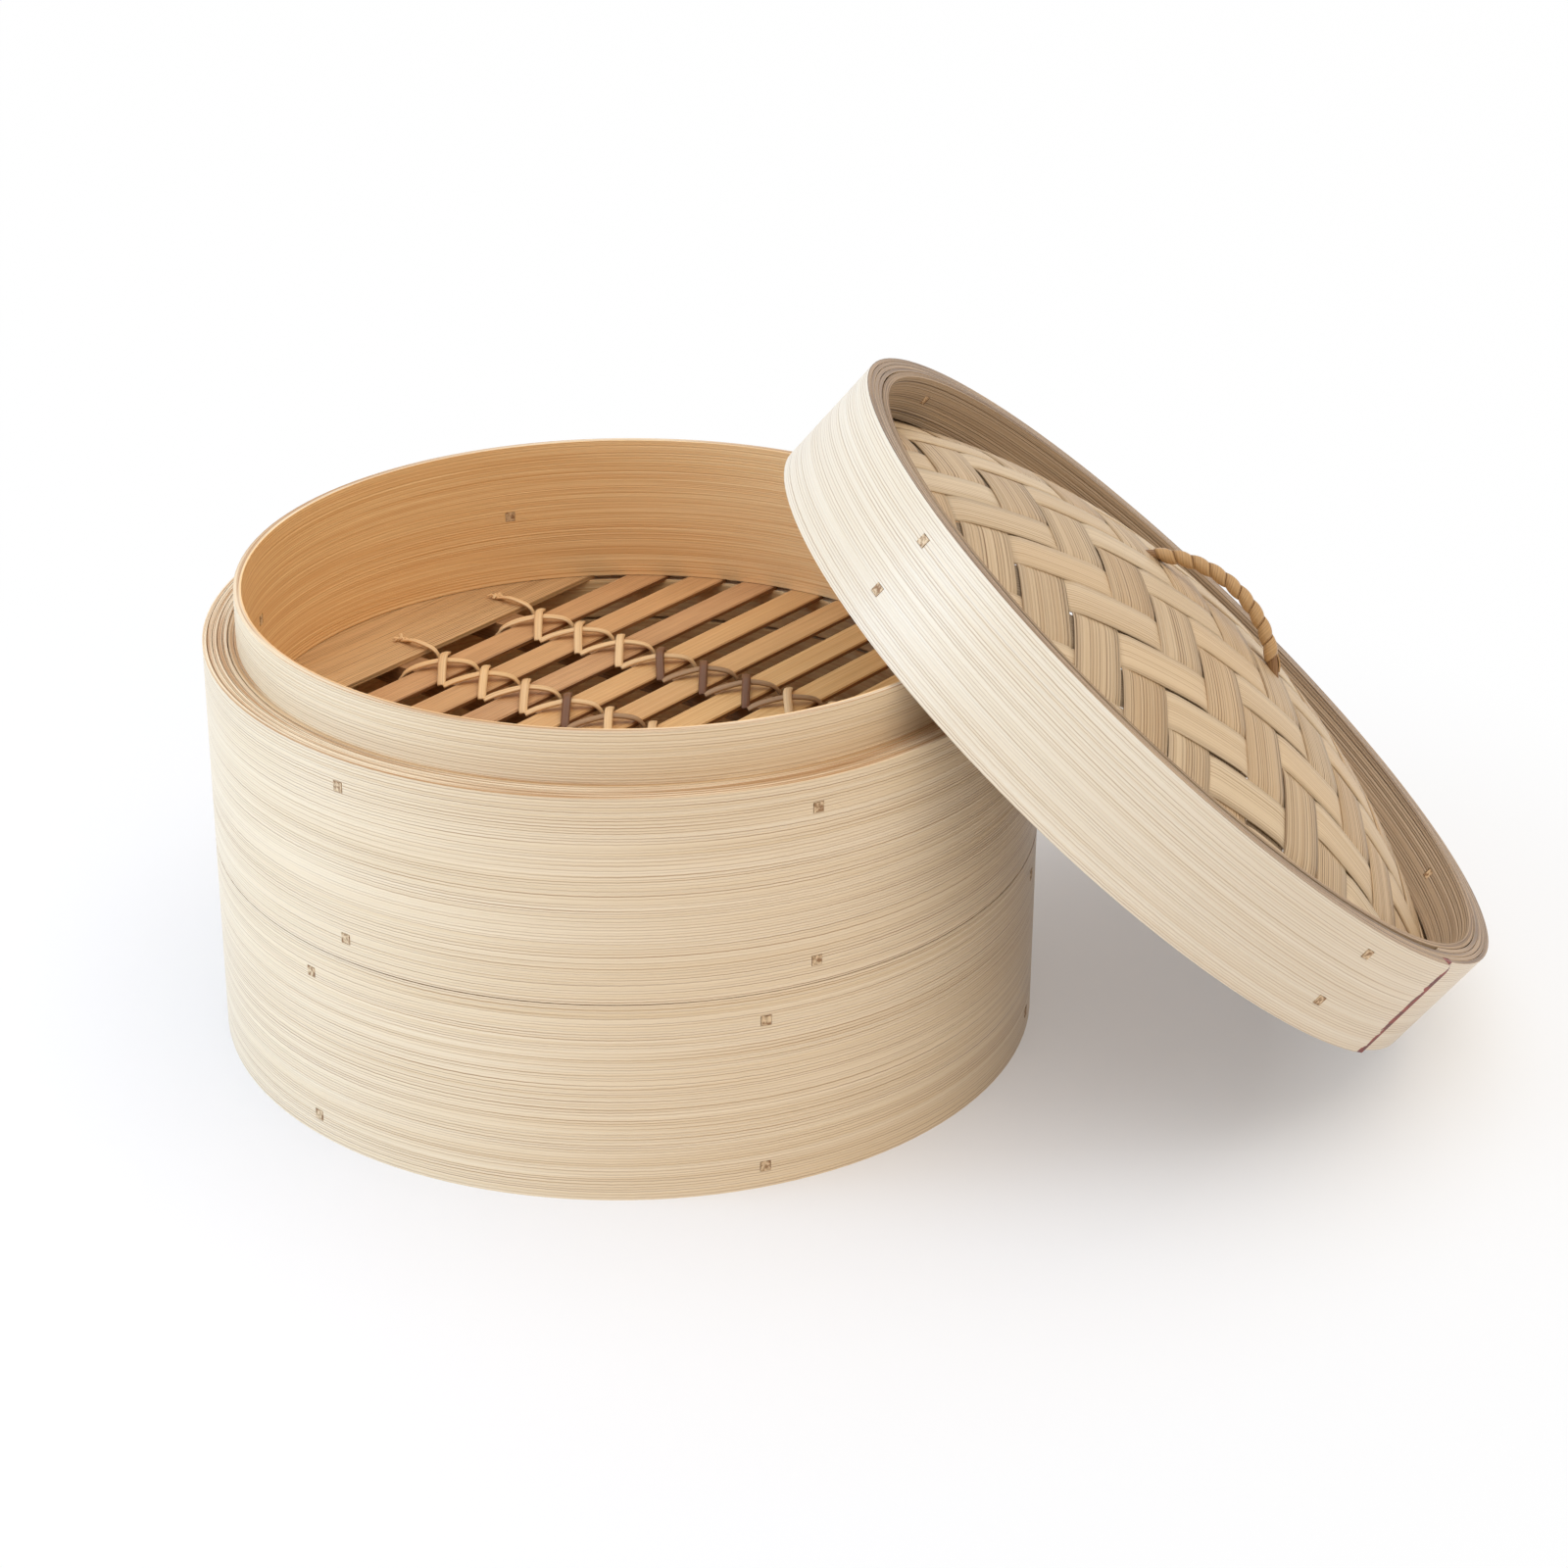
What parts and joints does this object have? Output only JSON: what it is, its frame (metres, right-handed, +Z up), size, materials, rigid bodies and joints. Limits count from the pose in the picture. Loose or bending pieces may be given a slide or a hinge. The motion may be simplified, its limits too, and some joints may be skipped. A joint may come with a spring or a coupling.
{
  "type": "bamboo steamer",
  "caption": "Stacked round bamboo steamer: baskets with slatted, lashed floors nest by collars, and a woven domed lid with an arched handle leans on the stack.",
  "frame": {"origin": "centre of the lower tier's base recess, on the table plane", "axes": "+Z up along the tiers' axis; +X towards the side where the lid leans; -Y is the pictured front"},
  "size_m": [0.3952, 0.2603, 0.1984],
  "materials": {
    "outer_bands": "bare split bamboo, fine lengthwise fibre lines",
    "hoops": "bare split bamboo, warmer tan",
    "slats": "bare bamboo slats, smooth outer skin up",
    "edge_plates": "bare bamboo board",
    "lashing_cane": "split cane strip",
    "woven_strips": "split bamboo strips in a two-over two-under twill",
    "handle_cane": "polished split cane",
    "pegs": "bare bamboo end grain"
  },
  "bodies": {
    "lower_tier": {"lower_collar_hoop": "hoops", "lower_backing_hoop": "hoops", "lower_wound_band": "outer_bands", "lower_floor_ring": "hoops", "lower_slat_1": "slats", "lower_slat_2": "slats", "lower_slat_3": "slats", "lower_slat_4": "slats", "lower_slat_5": "slats", "lower_slat_6": "slats", "lower_slat_7": "slats", "lower_slat_8": "slats", "lower_slat_9": "slats", "lower_edge_plate_right": "edge_plates", "lower_edge_plate_left": "edge_plates", "lower_crossbar_1": "slats", "lower_crossbar_2": "slats", "lower_crossbar_3": "slats", "lower_lashing_1": "lashing_cane", "lower_lashing_2": "lashing_cane", "lower_lashing_3": "lashing_cane", "lower_pegs": "pegs"},
    "upper_tier": {"upper_collar_hoop": "hoops", "upper_backing_hoop": "hoops", "upper_wound_band": "outer_bands", "upper_floor_ring": "hoops", "upper_slat_1": "slats", "upper_slat_2": "slats", "upper_slat_3": "slats", "upper_slat_4": "slats", "upper_slat_5": "slats", "upper_slat_6": "slats", "upper_slat_7": "slats", "upper_slat_8": "slats", "upper_slat_9": "slats", "upper_edge_plate_right": "edge_plates", "upper_edge_plate_left": "edge_plates", "upper_crossbar_1": "slats", "upper_crossbar_2": "slats", "upper_crossbar_3": "slats", "upper_lashing_1": "lashing_cane", "upper_lashing_2": "lashing_cane", "upper_lashing_3": "lashing_cane", "upper_pegs": "pegs"},
    "lid": {"lid_upper_hoop": "hoops", "lid_lower_hoop": "hoops", "lid_wound_band": "outer_bands", "lid_woven_dome": "woven_strips", "lid_handle_core": "handle_cane", "lid_handle_wrap": "handle_cane", "lid_pegs": "pegs"}
  },
  "joints": [
    {"name": "upper_tier_lift", "type": "slide", "parent": "lower_tier", "child": "upper_tier", "axis": [0, 0, 1], "range_m": [0, 0.12]},
    {"name": "lid_lift", "type": "slide", "parent": "upper_tier", "child": "lid", "axis": [0.6552, 0, 0.7554], "range_m": [0, 0.2]}
  ]
}
